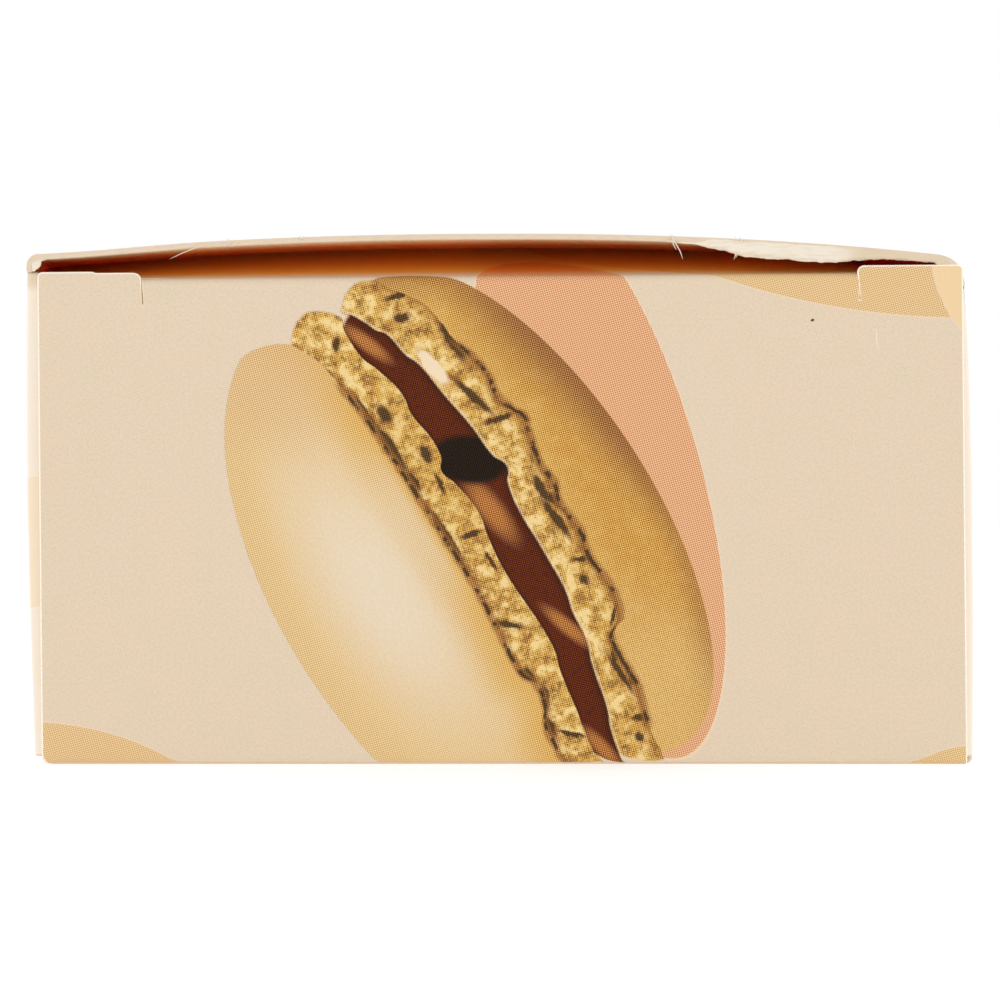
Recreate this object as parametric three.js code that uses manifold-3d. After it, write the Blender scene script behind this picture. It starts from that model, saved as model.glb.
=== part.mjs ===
// A shut folding carton for macarons: a low oblong box of printed folding boxboard, lying on its
// base. It is one blank, scored, folded and glued into a sleeve, so it is one solid here.
// Each end is shut by a closure panel that is hinged on the base. The panel's tuck flap is folded
// back in under the lid and holds it up, so the lid bows and a shallow slot stays open under it.
// A small ear stands at each end of the tuck fold, cut free of it by a hooked slit.
// Millimetres, +Z up. X runs across the box, Y along it, and the end at -Y is the one seen
// square on. The origin is on the table, under the middle of the box.

import * as THREE from "three";
import { mergeVertices } from "three/addons/utils/BufferGeometryUtils.js";
import Module from "manifold-3d";

// Driving dimensions
const LENGTH = 130; // closure panel to closure panel
const WIDTH = 72.5; // between the scores of the two side walls
const HEIGHT = 39.4; // table to lid, at the lid's long scores
const BOARD = 0.46; // thickness of the board
const CROWN = 1.58; // rise of the lid's bow at the ends of the box
const CROWN_SETTLES = 0.25; // share of that rise lost half way along
const BULGE = 0.27; // how far a side wall swells at the ends of the box
const BULGE_GROWS = 0.8; // share by which it swells more half way along
const LEAN = 0.62; // the box is racked: its lid stands this far to -X of its base
const PANEL_LEAN = 0.36; // the stiffer closure panels lean less

// Radii of the long scores, seen from the front end: the lid's right one is crushed.
const RADIUS = { baseLeft: 0.7, baseRight: 0.55, lidLeft: 0.9, lidRight: 1.9 };
const WALL_FOLD = 0.75; // the side walls turn in to their dust flaps round this radius
const BASE_FOLD = 0.7; // the closure panel turns under to the base round this radius

// The closure panel, its ears and its tuck flap.
const PANEL_WIDTH = 71.45;
const PANEL_OFFSET = 0.18; // the panel sits a little to one side
const TUCK_HEIGHT = 37.6; // table to the tuck fold, at the middle
const TUCK_TILT = 0.0082; // rise of the fold for each millimetre across
const TUCK_FOLD = 0.65; // radius of the tuck fold
const TUCK_DEPTH = 15; // how far in the flap meets the lid
const EAR_WIDTH = 7.9;
const EAR_RISE = 0.68; // above the tuck fold
const EAR_RADIUS = { inner: 0.6, outer: 0.4 }; // of its two top corners
const SLIT_DEPTH = 2.5; // of the hooked slit, below the top of the ear
const SLIT_WIDTH = 0.16;
const SLOT_STOP = { left: -35.6, right: 34.3 }; // where the slot ends against the walls
const EAR_GAP = 0.35; // between an ear and the wall beside it

// The lid's raw front edge is split and frayed towards its right end. Each tuft is a stretch of
// the edge that hangs lower: where it starts and ends, how soon it does so, and how far it hangs.
const FRAY_DEPTH = 0.8; // of the frayed lip, front to back
const TUFTS = [
  { from: 16, to: 18.2, drop: 0.42, soft: 2.4 },
  { from: 18.2, to: 26.9, drop: 0.88, soft: 1.2 },
  { from: 26.9, to: 30.6, drop: 0.44, soft: 1.4 },
  { from: 30.6, to: 35, drop: 0.25, soft: 0.9 },
];

// How finely the curves are cut into facets.
const LID_STEPS = 44;
const WALL_STEPS = 10;
const CORNER_STEPS = 6;
const FOLD_STEPS = 5;
const LENGTH_STEPS = 12;

const FRONT = -LENGTH / 2;
const SPLIT = 36.9; // height where the walls' folded ends give way to the lid's cut edge
const PROUD = 1; // cutters stand this far outside what they cut
const SLIVER = 0.02; // overlap kept between joined pieces, so that they join cleanly

const wasm = await Module();
wasm.setup();

// From geometry to solids and back
function solidOf(geometry) {
  const bare = geometry.index ? geometry.toNonIndexed() : geometry.clone();
  bare.deleteAttribute("normal");
  bare.deleteAttribute("uv");
  const merged = mergeVertices(bare, 1e-4);
  return new wasm.Manifold(
    new wasm.Mesh({
      numProp: 3,
      vertProperties: new Float32Array(merged.attributes.position.array),
      triVerts: new Uint32Array(merged.index.array),
    }),
  );
}

function geometryOf(solid) {
  const { numProp, vertProperties, triVerts, numVert } = solid.getMesh();
  const points = new Float32Array(numVert * 3);
  for (let i = 0; i < numVert; i++)
    points.set(vertProperties.subarray(i * numProp, i * numProp + 3), i * 3);
  const geometry = new THREE.BufferGeometry();
  geometry.setAttribute("position", new THREE.BufferAttribute(points, 3));
  geometry.setIndex(new THREE.BufferAttribute(triVerts, 1));
  return geometry.toNonIndexed();
}

// A solid skinned over a row of rings, each a list of points of the same number, closed by a flat
// cap at either end. Rings turn anticlockwise as seen from where the row starts.
function skin(rings) {
  const points = [];
  const triangle = (a, b, c) => points.push(...a, ...b, ...c);
  for (let i = 0; i + 1 < rings.length; i++) {
    const near = rings[i];
    const far = rings[i + 1];
    near.forEach((_, k) => {
      const next = (k + 1) % near.length;
      triangle(near[k], near[next], far[k]);
      triangle(near[next], far[next], far[k]);
    });
  }
  const cap = (ring, turned) => {
    const { flat, lift } = flattened(ring);
    for (const face of THREE.ShapeUtils.triangulateShape(flat, [])) {
      const [a, b, c] = face.map(lift);
      if (turned) triangle(a, b, c);
      else triangle(c, b, a);
    }
  };
  cap(rings[0], false);
  cap(rings[rings.length - 1], true);
  const geometry = new THREE.BufferGeometry();
  geometry.setAttribute(
    "position",
    new THREE.BufferAttribute(new Float32Array(points), 3),
  );
  return outwards(geometry);
}

// A ring lies in a plane of constant X or Y. Its two other coordinates are what gets triangulated.
function flattened(ring) {
  const spread = (axis) =>
    Math.max(...ring.map((p) => p[axis])) - Math.min(...ring.map((p) => p[axis]));
  const across = spread(0) > spread(1) ? 0 : 1;
  const flat = ring.map((p) => new THREE.Vector2(p[across], p[2]));
  return { flat, lift: (i) => ring[i] };
}

// The solid of a closed geometry, turned so that its faces point out.
function outwards(geometry) {
  const made = solidOf(geometry);
  if (made.volume() > 0) return made;
  const corner = geometry.attributes.position.array;
  for (let i = 0; i < corner.length; i += 9)
    for (let k = 0; k < 3; k++)
      [corner[i + k], corner[i + 3 + k]] = [corner[i + 3 + k], corner[i + k]];
  return solidOf(geometry);
}

function box(x0, x1, y0, y1, z0, z1) {
  const geometry = new THREE.BoxGeometry(x1 - x0, y1 - y0, z1 - z0);
  geometry.translate((x0 + x1) / 2, (y0 + y1) / 2, (z0 + z1) / 2);
  return solidOf(geometry);
}

// Curves of the folded box
const ends = (count) => Array.from({ length: count + 1 }, (_, i) => i / count);
const smooth = (from, to, x) => THREE.MathUtils.smoothstep(x, from, to);
const along = (y) => (2 * y) / LENGTH; // -1 at the front end, 1 at the back
const crown = (y) => CROWN * (1 - CROWN_SETTLES * (1 - along(y) ** 2));
const bulge = (y) => BULGE * (1 + BULGE_GROWS * (1 - along(y) ** 2));

// Distance of a side wall's outer face from the middle of the box.
const wallAt = (y, z) => WIDTH / 2 + bulge(y) * Math.sin((Math.PI * z) / HEIGHT);

// Height of the lid's outer face.
const LID_FROM = -WIDTH / 2 + RADIUS.lidLeft;
const LID_TO = WIDTH / 2 - RADIUS.lidRight;
function lidAt(y, x) {
  const t = (x - LID_FROM) / (LID_TO - LID_FROM);
  return HEIGHT + crown(y) * 4 * t * (1 - t);
}

// The points of a rounded corner, from one angle to another, in degrees.
function corner(x, z, radius, fromAngle, toAngle) {
  return ends(CORNER_STEPS).map((t) => {
    const angle = THREE.MathUtils.degToRad(fromAngle + (toAngle - fromAngle) * t);
    return [x + radius * Math.cos(angle), z + radius * Math.sin(angle)];
  });
}

// The lower box: walls, base and dust flaps

// One ring round the box below the split, drawn in where the walls turn in to the dust flaps.
function lowerRing(y, drawnIn) {
  const top = SPLIT + 4 * SLIVER;
  const side = (z) => wallAt(y, z) - drawnIn - (z > SPLIT ? SLIVER : 0);
  const { baseLeft, baseRight } = RADIUS;
  const wall = (radius) =>
    ends(WALL_STEPS).map((t) => THREE.MathUtils.lerp(radius, SPLIT - SLIVER, t));
  const outline = [
    ...corner(-side(0) + baseLeft, baseLeft, baseLeft, 180, 270),
    ...corner(side(0) - baseRight, baseRight, baseRight, 270, 360),
    ...wall(baseRight).slice(1).map((z) => [side(z), z]),
    [side(top), top],
    [-side(top), top],
    ...wall(baseLeft).slice(1).reverse().map((z) => [-side(z), z]),
  ];
  return outline.map(([x, z]) => [x, y, z]);
}

function lowerBox() {
  const start = FRONT + BOARD;
  const folded = ends(FOLD_STEPS).map((t) => {
    const angle = (Math.PI / 2) * t;
    return {
      y: start + WALL_FOLD * (1 - Math.cos(angle)),
      drawnIn: WALL_FOLD * (1 - Math.sin(angle)),
    };
  });
  const straight = ends(LENGTH_STEPS)
    .slice(1, -1)
    .map((t) => ({ y: THREE.MathUtils.lerp(FRONT, -FRONT, t), drawnIn: 0 }));
  const backFolded = folded.map(({ y, drawnIn }) => ({ y: -y, drawnIn })).reverse();
  const stations = [...folded, ...straight, ...backFolded];
  return skin(stations.map(({ y, drawnIn }) => lowerRing(y, drawnIn)));
}

// The upper box: lid, its long scores and the tops of the walls
function upperRing(y) {
  const left = wallAt(y, HEIGHT);
  const { lidLeft, lidRight } = RADIUS;
  const lid = ends(LID_STEPS)
    .slice(1, -1)
    .map((t) => THREE.MathUtils.lerp(LID_TO, LID_FROM, t));
  const outline = [
    [-wallAt(y, SPLIT), SPLIT],
    [wallAt(y, SPLIT), SPLIT],
    ...corner(left - lidRight, HEIGHT - lidRight, lidRight, 0, 90),
    ...lid.map((x) => [x, lidAt(y, x)]),
    ...corner(-left + lidLeft, HEIGHT - lidLeft, lidLeft, 90, 180),
  ];
  return outline.map(([x, z]) => [x, y, z]);
}

const upperBox = () =>
  skin(ends(LENGTH_STEPS).map((t) => upperRing(THREE.MathUtils.lerp(FRONT, -FRONT, t))));

// The closure panel
const PANEL_LEFT = PANEL_OFFSET - PANEL_WIDTH / 2;
const PANEL_RIGHT = PANEL_OFFSET + PANEL_WIDTH / 2;
const tuckFoldAt = (x) => TUCK_HEIGHT + TUCK_TILT * x;

// The panel itself, up to the split, with its fold to the base rounded. It stands in front of
// the dust flaps and runs a little way back into the base.
function closurePanel() {
  const outline = new THREE.Shape();
  outline.moveTo(BASE_FOLD + PROUD, 0);
  outline.lineTo(BASE_FOLD, 0);
  outline.absarc(BASE_FOLD, BASE_FOLD, BASE_FOLD, -Math.PI / 2, -Math.PI, true);
  outline.lineTo(0, SPLIT + 4 * SLIVER);
  outline.lineTo(BASE_FOLD + PROUD, SPLIT + 4 * SLIVER);
  outline.closePath();
  const geometry = new THREE.ExtrudeGeometry(outline, {
    depth: PANEL_WIDTH,
    bevelEnabled: false,
    curveSegments: 2 * CORNER_STEPS,
  });
  // The outline's first axis runs back along Y and its second up along Z.
  const placed = new THREE.Matrix4().makeBasis(
    new THREE.Vector3(0, 1, 0),
    new THREE.Vector3(0, 0, 1),
    new THREE.Vector3(1, 0, 0),
  );
  placed.setPosition(PANEL_LEFT, FRONT, 0);
  geometry.applyMatrix4(placed);
  return outwards(geometry);
}

// What is open above the tuck flap and below the lid. At each place across the box, the flap's
// face comes up the front, turns back round the tuck fold and climbs until it meets the lid.
function slotCutter() {
  const section = (x) => {
    const fold = tuckFoldAt(x);
    const under = (y) => lidAt(y, x) - BOARD;
    const meets = FRONT + TUCK_DEPTH;
    const bend = ends(FOLD_STEPS).map((t) => {
      const angle = Math.PI - (Math.PI / 2) * t;
      const y = FRONT + TUCK_FOLD * (1 + Math.cos(angle));
      return [x, y, fold - TUCK_FOLD * (1 - Math.sin(angle))];
    });
    return [
      [x, FRONT - PROUD, fold - TUCK_FOLD],
      ...bend,
      [x, meets, under(meets)],
      [x, FRONT, under(FRONT)],
      [x, FRONT - PROUD, under(FRONT)],
    ];
  };
  const { left, right } = SLOT_STOP;
  return skin(ends(LID_STEPS).map((t) => section(THREE.MathUtils.lerp(left, right, t))));
}

// One ear of the closure panel, its inner top corner rounded. side is -1 at the left.
function ear(side) {
  const outer = side < 0 ? PANEL_LEFT : PANEL_RIGHT;
  const inner = outer - side * EAR_WIDTH;
  const foot = SPLIT - PROUD;
  const topAt = (x) => tuckFoldAt(x) + EAR_RISE;
  const outline = new THREE.Shape();
  outline.moveTo(outer, foot);
  outline.lineTo(outer, topAt(outer) - EAR_RADIUS.outer);
  outline.quadraticCurveTo(outer, topAt(outer), outer - side * EAR_RADIUS.outer, topAt(outer));
  outline.lineTo(inner + side * EAR_RADIUS.inner, topAt(inner));
  outline.quadraticCurveTo(inner, topAt(inner), inner, topAt(inner) - EAR_RADIUS.inner);
  outline.lineTo(inner, foot);
  outline.closePath();
  const geometry = new THREE.ExtrudeGeometry(outline, {
    depth: BOARD,
    bevelEnabled: false,
    curveSegments: CORNER_STEPS,
  });
  geometry.rotateX(Math.PI / 2);
  geometry.translate(0, FRONT + BOARD, 0);
  return outwards(geometry);
}

// The slit that frees an ear from the tuck flap, and the gap between the ear and the wall.
function earCuts(side) {
  const outer = side < 0 ? PANEL_LEFT : PANEL_RIGHT;
  const inner = outer - side * EAR_WIDTH;
  const top = tuckFoldAt(inner) + EAR_RISE;
  const back = FRONT + BOARD;
  const slit = box(
    inner - SLIT_WIDTH / 2,
    inner + SLIT_WIDTH / 2,
    FRONT - PROUD,
    back,
    top - SLIT_DEPTH,
    top - EAR_RADIUS.inner,
  );
  const gap = box(
    Math.min(outer, outer + side * EAR_GAP),
    Math.max(outer, outer + side * EAR_GAP),
    FRONT - PROUD,
    back,
    SPLIT - SLIVER,
    HEIGHT - 2 * BOARD,
  );
  return slit.add(gap);
}

// The split and frayed lower lip of the lid's front edge.
function frayedLip() {
  const hang = (x) =>
    TUFTS.reduce((deepest, { from, to, drop, soft }) => {
      const here = smooth(from - soft / 2, from + soft / 2, x);
      const gone = smooth(to - soft / 2, to + soft / 2, x);
      return deepest + drop * (here - gone);
    }, 0);
  const ragged = (x) => 0.05 * Math.sin(2.3 * x) + 0.04 * Math.sin(5.1 * x + 1);
  const first = TUFTS[0].from - TUFTS[0].soft / 2;
  const last = Math.min(TUFTS.at(-1).to, SLOT_STOP.right + BOARD);
  const section = (x) => {
    const top = lidAt(FRONT, x) - BOARD / 2;
    const low = lidAt(FRONT, x) - BOARD - Math.max(SLIVER, hang(x) + ragged(x));
    const lean = THREE.MathUtils.lerp(top, low, 0.4);
    return [
      [x, FRONT, top],
      [x, FRONT, low],
      [x, FRONT + BOARD, lean],
      [x, FRONT + FRAY_DEPTH, top],
    ];
  };
  return skin(ends(LID_STEPS).map((t) => section(THREE.MathUtils.lerp(first, last, t))));
}

// Putting the carton together
const moved = (solid, matrix) => outwards(geometryOf(solid).applyMatrix4(matrix));

// A solid racked to -X by the given distance over the height of the box.
function leaning(solid, distance) {
  const shear = new THREE.Matrix4().makeShear(0, 0, 0, 0, -distance / HEIGHT, 0);
  return moved(solid, shear.setPosition(distance / 2, 0, 0));
}

// The same thing at the front end and, turned round, at the back. Both lean to -X.
const halfTurn = new THREE.Matrix4().makeRotationZ(Math.PI);
const atBothEnds = (solid, distance) => [
  leaning(solid, distance),
  leaning(moved(solid, halfTurn), distance),
];

function carton() {
  let made = leaning(lowerBox().add(upperBox()), LEAN);
  const join = (solid) => (made = made.add(solid));
  const cut = (solid) => (made = made.subtract(solid));
  atBothEnds(closurePanel(), PANEL_LEAN).forEach(join);
  atBothEnds(slotCutter(), LEAN).forEach(cut);
  for (const side of [-1, 1]) {
    atBothEnds(ear(side), PANEL_LEAN).forEach(join);
    atBothEnds(earCuts(side), PANEL_LEAN).forEach(cut);
  }
  join(leaning(frayedLip(), LEAN));
  return geometryOf(made);
}

const printedBoard = new THREE.MeshStandardMaterial({
  color: 0xe7d1b8,
  roughness: 0.55,
  metalness: 0,
});

const group = new THREE.Group();
const whole = new THREE.Mesh(carton(), printedBoard);
whole.name = "carton";
group.add(whole);

export default group;
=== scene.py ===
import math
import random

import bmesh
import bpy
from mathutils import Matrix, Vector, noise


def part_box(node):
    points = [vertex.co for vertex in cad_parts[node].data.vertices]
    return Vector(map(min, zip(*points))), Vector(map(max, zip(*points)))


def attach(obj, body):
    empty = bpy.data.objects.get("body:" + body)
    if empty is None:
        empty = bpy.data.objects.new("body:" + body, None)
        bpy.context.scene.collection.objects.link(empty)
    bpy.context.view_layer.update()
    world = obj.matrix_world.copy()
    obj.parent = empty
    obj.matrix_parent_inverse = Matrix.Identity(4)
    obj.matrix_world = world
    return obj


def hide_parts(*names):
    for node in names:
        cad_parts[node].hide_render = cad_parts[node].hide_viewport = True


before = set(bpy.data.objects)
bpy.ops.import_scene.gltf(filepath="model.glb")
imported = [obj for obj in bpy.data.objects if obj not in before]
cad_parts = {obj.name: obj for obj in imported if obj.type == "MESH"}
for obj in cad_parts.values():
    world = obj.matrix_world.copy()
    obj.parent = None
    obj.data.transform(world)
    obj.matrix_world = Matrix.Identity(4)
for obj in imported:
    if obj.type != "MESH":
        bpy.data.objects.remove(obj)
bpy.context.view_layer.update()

# A shut folding carton for macarons. The blank is made flat, panel by panel, with its print laid
# out on it in millimetres, and is then wrapped round its creases as the real one is. Every panel
# gets the thickness of the board, a raw edge where it was die-cut, and an uncoated back.
# Sizes here are millimetres. Each finished piece is scaled to metres.

box_low, box_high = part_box("carton")

MM = 0.001

# Sizes of the carton
LENGTH = (box_high.y - box_low.y) / MM
WIDTH = 72.5  # between the scores of the two side walls
HEIGHT = 39.4  # table to lid, at the lid's long scores
CROWN = box_high.z / MM - HEIGHT - 0.02  # rise of the lid's bow at the ends of the box
CROWN_SETTLES = 0.25  # share of that rise lost half way along
CROWN_SKEW = 0.5  # extra height of the crown towards the right
CROWN_SAG = 0.6  # share of the crown lost at its left end, which is pressed flat
SAG_WIDTH = 0.2  # share of the lid's width over which that happens
PINCH = 0.25  # the crushed right score draws the wall's top in by this much
PINCH_FROM = 30.0  # it starts this far right of the middle, and this far above the table
PINCH_WIDTH = 6.0  # and grows to its full over this width and up to the lid
BOARD = 0.46
GAP = 0.03  # between two layers of board that lie on each other
BULGE = 0.27  # how far a side wall swells at the ends of the box
BULGE_GROWS = 0.8  # share by which it swells more half way along
LEAN = 0.62  # the box is racked: its lid stands this far to -X of its base
PANEL_LEAN = 0.36  # the stiffer closure panels lean less
END = LENGTH / 2  # from the middle of the box to a closure panel
LID_END = END - 0.12  # the lid's raw edge stands just behind the closure's face

# Radii of the long scores, seen from the front end: the lid's right one is crushed.
BASE_LEFT = 0.7
BASE_RIGHT = 0.55
LID_LEFT = 0.9
LID_RIGHT = 2.3
SEAM = 0.6  # the left wall ends this far above the table, over the glue flap
GLUE_FLAP = 11.0
SPLIT_LEFT = 38.0  # heights where the walls' folded ends give way to a raw edge
SPLIT_RIGHT = 36.9

DUST_FOLD = 0.75
DUST_FLAP = 14.0
DUST_TAPER = 0.05  # share by which a dust flap gets narrower behind its fold
DUST_NARROWS = 6.0  # and how far in it has done so
DUST_SCORE = END - BOARD - GAP - DUST_FOLD
BASE_FOLD = 0.7

PANEL_LEFT = -35.55  # side edges of the closure panel
PANEL_RIGHT = 35.9
TUCK_HEIGHT = 37.7  # table to the tuck fold, at the middle
TUCK_TILT = 0.0082  # rise of the fold for each millimetre across
TUCK_FOLD = 0.65
TUCK_MEETS = (12.8, 11.4)  # how far in the flap meets the lid, at its left and right
TUCK_TURNS = (6.0, 12.0)  # where, going right, it starts to change over, and how soon
TUCK_LEVELS = 4.0  # radius of the bend where it comes to lie flat against the lid
TUCK_REACH = 8.0  # how much further it lies there
FOOT_HEIGHT = 0.9  # of the closure's lowest stretch, whose form the next three sizes give
FOOT_LIFT = 0.13  # how far the base fold stands off the table
FOOT_LANDS = (35.6, 2.5)  # where at the right it comes down, and over what width
FOOT_TUCK = 0.35  # how far its left corner is drawn in
EAR_WIDTHS = (8.1, 7.95)
EAR_RISE = 0.58  # above the tuck fold
EAR_INNER = 0.6  # radii of an ear's two top corners
EAR_OUTER = 0.4
SLIT_FOOT = 35.65  # height where the hooked slit ends
SLIT = 0.05  # width of the cut between an ear and the flap
SLIT_AT = 27.7  # from the middle of the box to either slit
EAR_NICK = (-31.1, 0.1)  # right of here the left ear was cut this much lower
EAR_SHIFTS = (-0.1, -0.28)  # how far each ear's inner top corner stands off its cut line
UNDER_EAR = 0.15  # how far the flap's sides slip under the ears
PANEL_SET = 0.03  # the ears lean this far out of the panel's face at their tops

RAW_EDGE = 0.16  # how far the lid's worn edge is rounded
CUT_EDGE = 0.11  # how far ink is chipped off along the closures' cut edges
CHIPPED_FROM = math.radians(60)  # edges sharper than this are rounded
SOILED = (25.5, 28.5)  # across, where the torn ply turns from clean to soiled
SMOOTH_UP_TO = math.radians(38)  # edges gentler than this are shaded as one curve
WELD = 0.002  # corners closer than this are one

# Colours, as they look in sRGB
BEIGE = "#E3D1B7"
PINKISH_BEIGE = "#E8D1B9"
DEEP_BEIGE = "#C8B292"
CORAL = "#DFA87D"
MUSTARD = "#E0BD8A"
PALE_MUSTARD = "#EED0A2"
TRAP = "#EBD3B6"  # where two inks meet a little of the pale board shows through
HAIRLINE = 0.09  # width of the line where it does
RUBBED = "#F6E7CF"
BARE_BOARD = "#E5D0B8"
WHITE_LINER = "#FFF6E8"
TORN_PLY = "#F0E5D3"
DIRTY_PLY = "#DDC8AA"
SLIT_EDGE_SHADE = "#ECD3B0"  # painted shade on the cut edges by a slit, darker than the bare liner
PLY_STREAK = "#DFCDB2"
BARE_FIBRE = "#DCC6A8"
LINER_FIBRE = "#F3E3CC"
BOARD_BACK = "#DDBE96"
BACK_FIBRE = "#C9A678"
FLECK = "#4A4034"
# Painted glow: the warm light bounced between lid and flap, painted on the board's back
PAINTED_SLOT_GLOW = "#FFA040"
LID_SHADE = (0.82, 0.76, 0.70)  # what is left of a colour under the lid, right of its middle
# Painted warm shade on the flap's print inside the slot:
SLOT_SHADE_TINT = (1.34, 0.75, 0.12)  # what light between lid and flap leaves of a printed colour


# Helpers for materials
def linear(colour):
    """An sRGB hex colour as the linear colour that a shader takes."""
    parts = [int(colour[i : i + 2], 16) / 255 for i in (1, 3, 5)]
    low = [p / 12.92 if p <= 0.04045 else ((p + 0.055) / 1.055) ** 2.4 for p in parts]
    return (*low, 1.0)


def add(beside, kind, inputs=None, output=0, **settings):
    """Adds a shader node, sets its options, fills or links its inputs, and gives one output.

    It goes into the tree that the first argument is, or that it is a socket in.
    """
    tree = beside.id_data
    node = tree.nodes.new("ShaderNode" + kind)
    for name, value in settings.items():
        setattr(node, name, value)
    for name, value in (inputs or {}).items():
        if isinstance(value, bpy.types.NodeSocket):
            tree.links.new(value, node.inputs[name])
        else:
            node.inputs[name].default_value = value
    return node.outputs[output] if node.outputs else node


def in_frame_of(point, centre, turn, scale=(1, 1)):
    """The same point, measured from a picture's middle along its turned axes."""
    turned = (0, 0, math.radians(turn))
    local = {"Vector": point, "Location": (*centre, 0), "Rotation": turned, "Scale": (*scale, 1)}
    return add(point, "Mapping", local, vector_type="TEXTURE")


def disc(point, centre, radii, turn=0.0):
    """Distance from the middle of an ellipse, as a share of the way to its outline."""
    local = in_frame_of(point, centre, turn, radii)
    return add(point, "VectorMath", {0: local}, "Value", operation="LENGTH")


def fade(value, start, end):
    """0 up to the start and 1 from the end, smoothly. The end may be the lower of the two."""
    span = {"Value": value, "From Min": start, "From Max": end}
    return add(value, "MapRange", span, interpolation_type="SMOOTHSTEP")


def overlap(*masks):
    """Where all these masks lie on one another."""
    shared = masks[0]
    for mask in masks[1:]:
        shared = add(shared, "Math", {0: shared, 1: mask}, operation="MULTIPLY")
    return shared


def ink(under, colour, *masks):
    """Prints a colour over what lies under it, where the masks overlap."""
    over = linear(colour) if isinstance(colour, str) else colour
    where = overlap(*masks)
    return add(where, "Mix", {0: where, 6: under, 7: over}, 2, data_type="RGBA")


def mottle(point, size, detail=2.0, stretch=(1, 1, 1)):
    """Soft noise whose blotches are about this many millimetres across."""
    laid = add(point, "VectorMath", {0: point, 1: stretch}, operation="MULTIPLY")
    return add(point, "TexNoise", {"Vector": laid, "Scale": 1 / size, "Detail": detail})


def wander(point, size, reach, detail=1.0):
    """The point moved about in waves of this size, so that an outline drawn from it wanders."""
    waves = add(point, "TexNoise", {"Vector": point, "Scale": 1 / size, "Detail": detail}, 1)
    centred = add(point, "VectorMath", {0: waves, 1: (0.5, 0.5, 0.5)}, operation="SUBTRACT")
    swing = (2 * reach[0], 2 * reach[1], 0)
    return add(point, "VectorMath", {0: centred, 1: swing, 2: point}, operation="MULTIPLY_ADD")


def nearest(point, marks):
    """Distance to the nearest of some ellipses, as a share of the way to its outline."""
    closest = disc(point, *marks[0])
    for mark in marks[1:]:
        other = disc(point, *mark)
        closest = add(point, "Math", {0: closest, 1: other}, operation="MINIMUM")
    return closest


# The printed picture of a macaron

# It is seen from its side and drawn round its own middle, in millimetres. X runs along the
# filling and Y across it, from the near shell below to the far one above.
NEAR_TAN = "#E4C592"
NEAR_LIGHT = "#E8D8BF"
NEAR_GOLD = "#D8A850"
NEAR_RIM = "#E0BF8A"
NEAR_END = "#DBB688"
FAR_GOLD = "#CF9B44"
FAR_LIGHT = "#DFB568"
FAR_PALE = "#E0B974"
FAR_BROWN = "#94602E"
FOOT = "#CFA148"
FOOT_CREAM = "#F0D290"
FOOT_WHITE = "#F0D9B8"
FOOT_BROWN = "#986122"
CRACK = "#4C3512"
JAM = "#5C1B00"
JAM_BLACK = "#1A0700"
JAM_GLINT = "#C27E34"

# Lines between the layers, through these places from left to right.
DRAWN_FROM, DRAWN_TO = -5.0, 9.0  # no line goes lower or higher than this
FAR_FOOT_LINE = (
    (-20, 4.1), (-18.5, 4.5), (-17.3, 5.4), (-15.2, 6.4), (-12.5, 6.6), (-10.3, 7.1),
    (-8.5, 7.3), (-6.8, 7), (-5.6, 7.3), (-4.3, 7.85), (-3.2, 7.5), (-0.5, 6.9), (1.2, 6.95),
    (2.6, 6.5), (5.6, 6.6), (7.2, 6.15), (10.5, 6.2), (12.7, 5.5), (13.3, 4.2), (14.8, 3.9),
    (17.8, 3.7), (20.4, 2.9), (24, 2.3),
)
FAR_LIP_LINE = (
    (-19, 0.6), (-17.2, 1.6), (-16.2, 2), (-15.4, 2.55), (-13.4, 2.85), (-12.2, 3.3),
    (-9, 3.65), (-6, 4.05), (-3.2, 4.2), (-1.9, 4.65), (-0.9, 4.05), (1, 3.6), (5, 3.4),
    (8.8, 3.1), (10.2, 2.7), (12.6, 2.4), (14.3, 1.75), (17.8, 0.85), (19.6, 0.1), (24, -0.8),
)
NEAR_LIP_LINE = (
    (-19, 0.15), (-15.2, -0.1), (-13.6, 0.4), (-10.9, 0.95), (-9.3, 0.7), (-6.8, 0.95),
    (-5.3, 0.8), (-4.3, 0.2), (-3, 0.55), (-0.3, 0.85), (2.2, 0.35), (4.4, 0.05),
    (11.8, -0.1), (13.6, -0.65), (16.5, -1.2), (20, -1.9), (24, -2.3),
)
NEAR_FOOT_LINE = (
    (-20, -4.6), (-18.4, -3.9), (-16.6, -3.1), (-13, -2.6), (-8, -2.4), (-0.5, -2.45),
    (4.8, -2.55), (8, -2.9), (12.2, -3.2), (13.5, -2.75), (15, -3), (16.6, -3.95),
    (18.5, -4.2), (24, -4.8),
)

# Cracks and pits in the feet, as ellipses: middle, half sizes and turn in degrees.
FAR_CRACKS = (
    ((-12.3, 6.45), (1.3, 0.3), 0), ((-17.5, 4.9), (0.75, 0.16), 75),
    ((-15.9, 4.2), (0.45, 0.26), 70), ((-7.8, 5.45), (1.4, 0.2), 14),
    ((-5.3, 6.1), (0.8, 0.18), 75), ((1, 5.9), (0.9, 0.24), -4), ((2.4, 6.3), (0.7, 0.22), 20),
    ((3.5, 5.6), (1.3, 0.22), 3), ((7.3, 5.6), (0.6, 0.16), 65), ((8.7, 4.85), (0.3, 0.24), 0),
    ((12.1, 5.3), (0.7, 0.12), -50), ((14.7, 3.6), (0.8, 0.2), -35),
    ((16.2, 3.15), (1.2, 0.16), 0), ((17, 3.7), (0.5, 0.14), -40),
    ((19.9, 2.6), (0.5, 0.18), 60), ((21.1, 1.7), (0.3, 0.22), 0),
)
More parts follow.
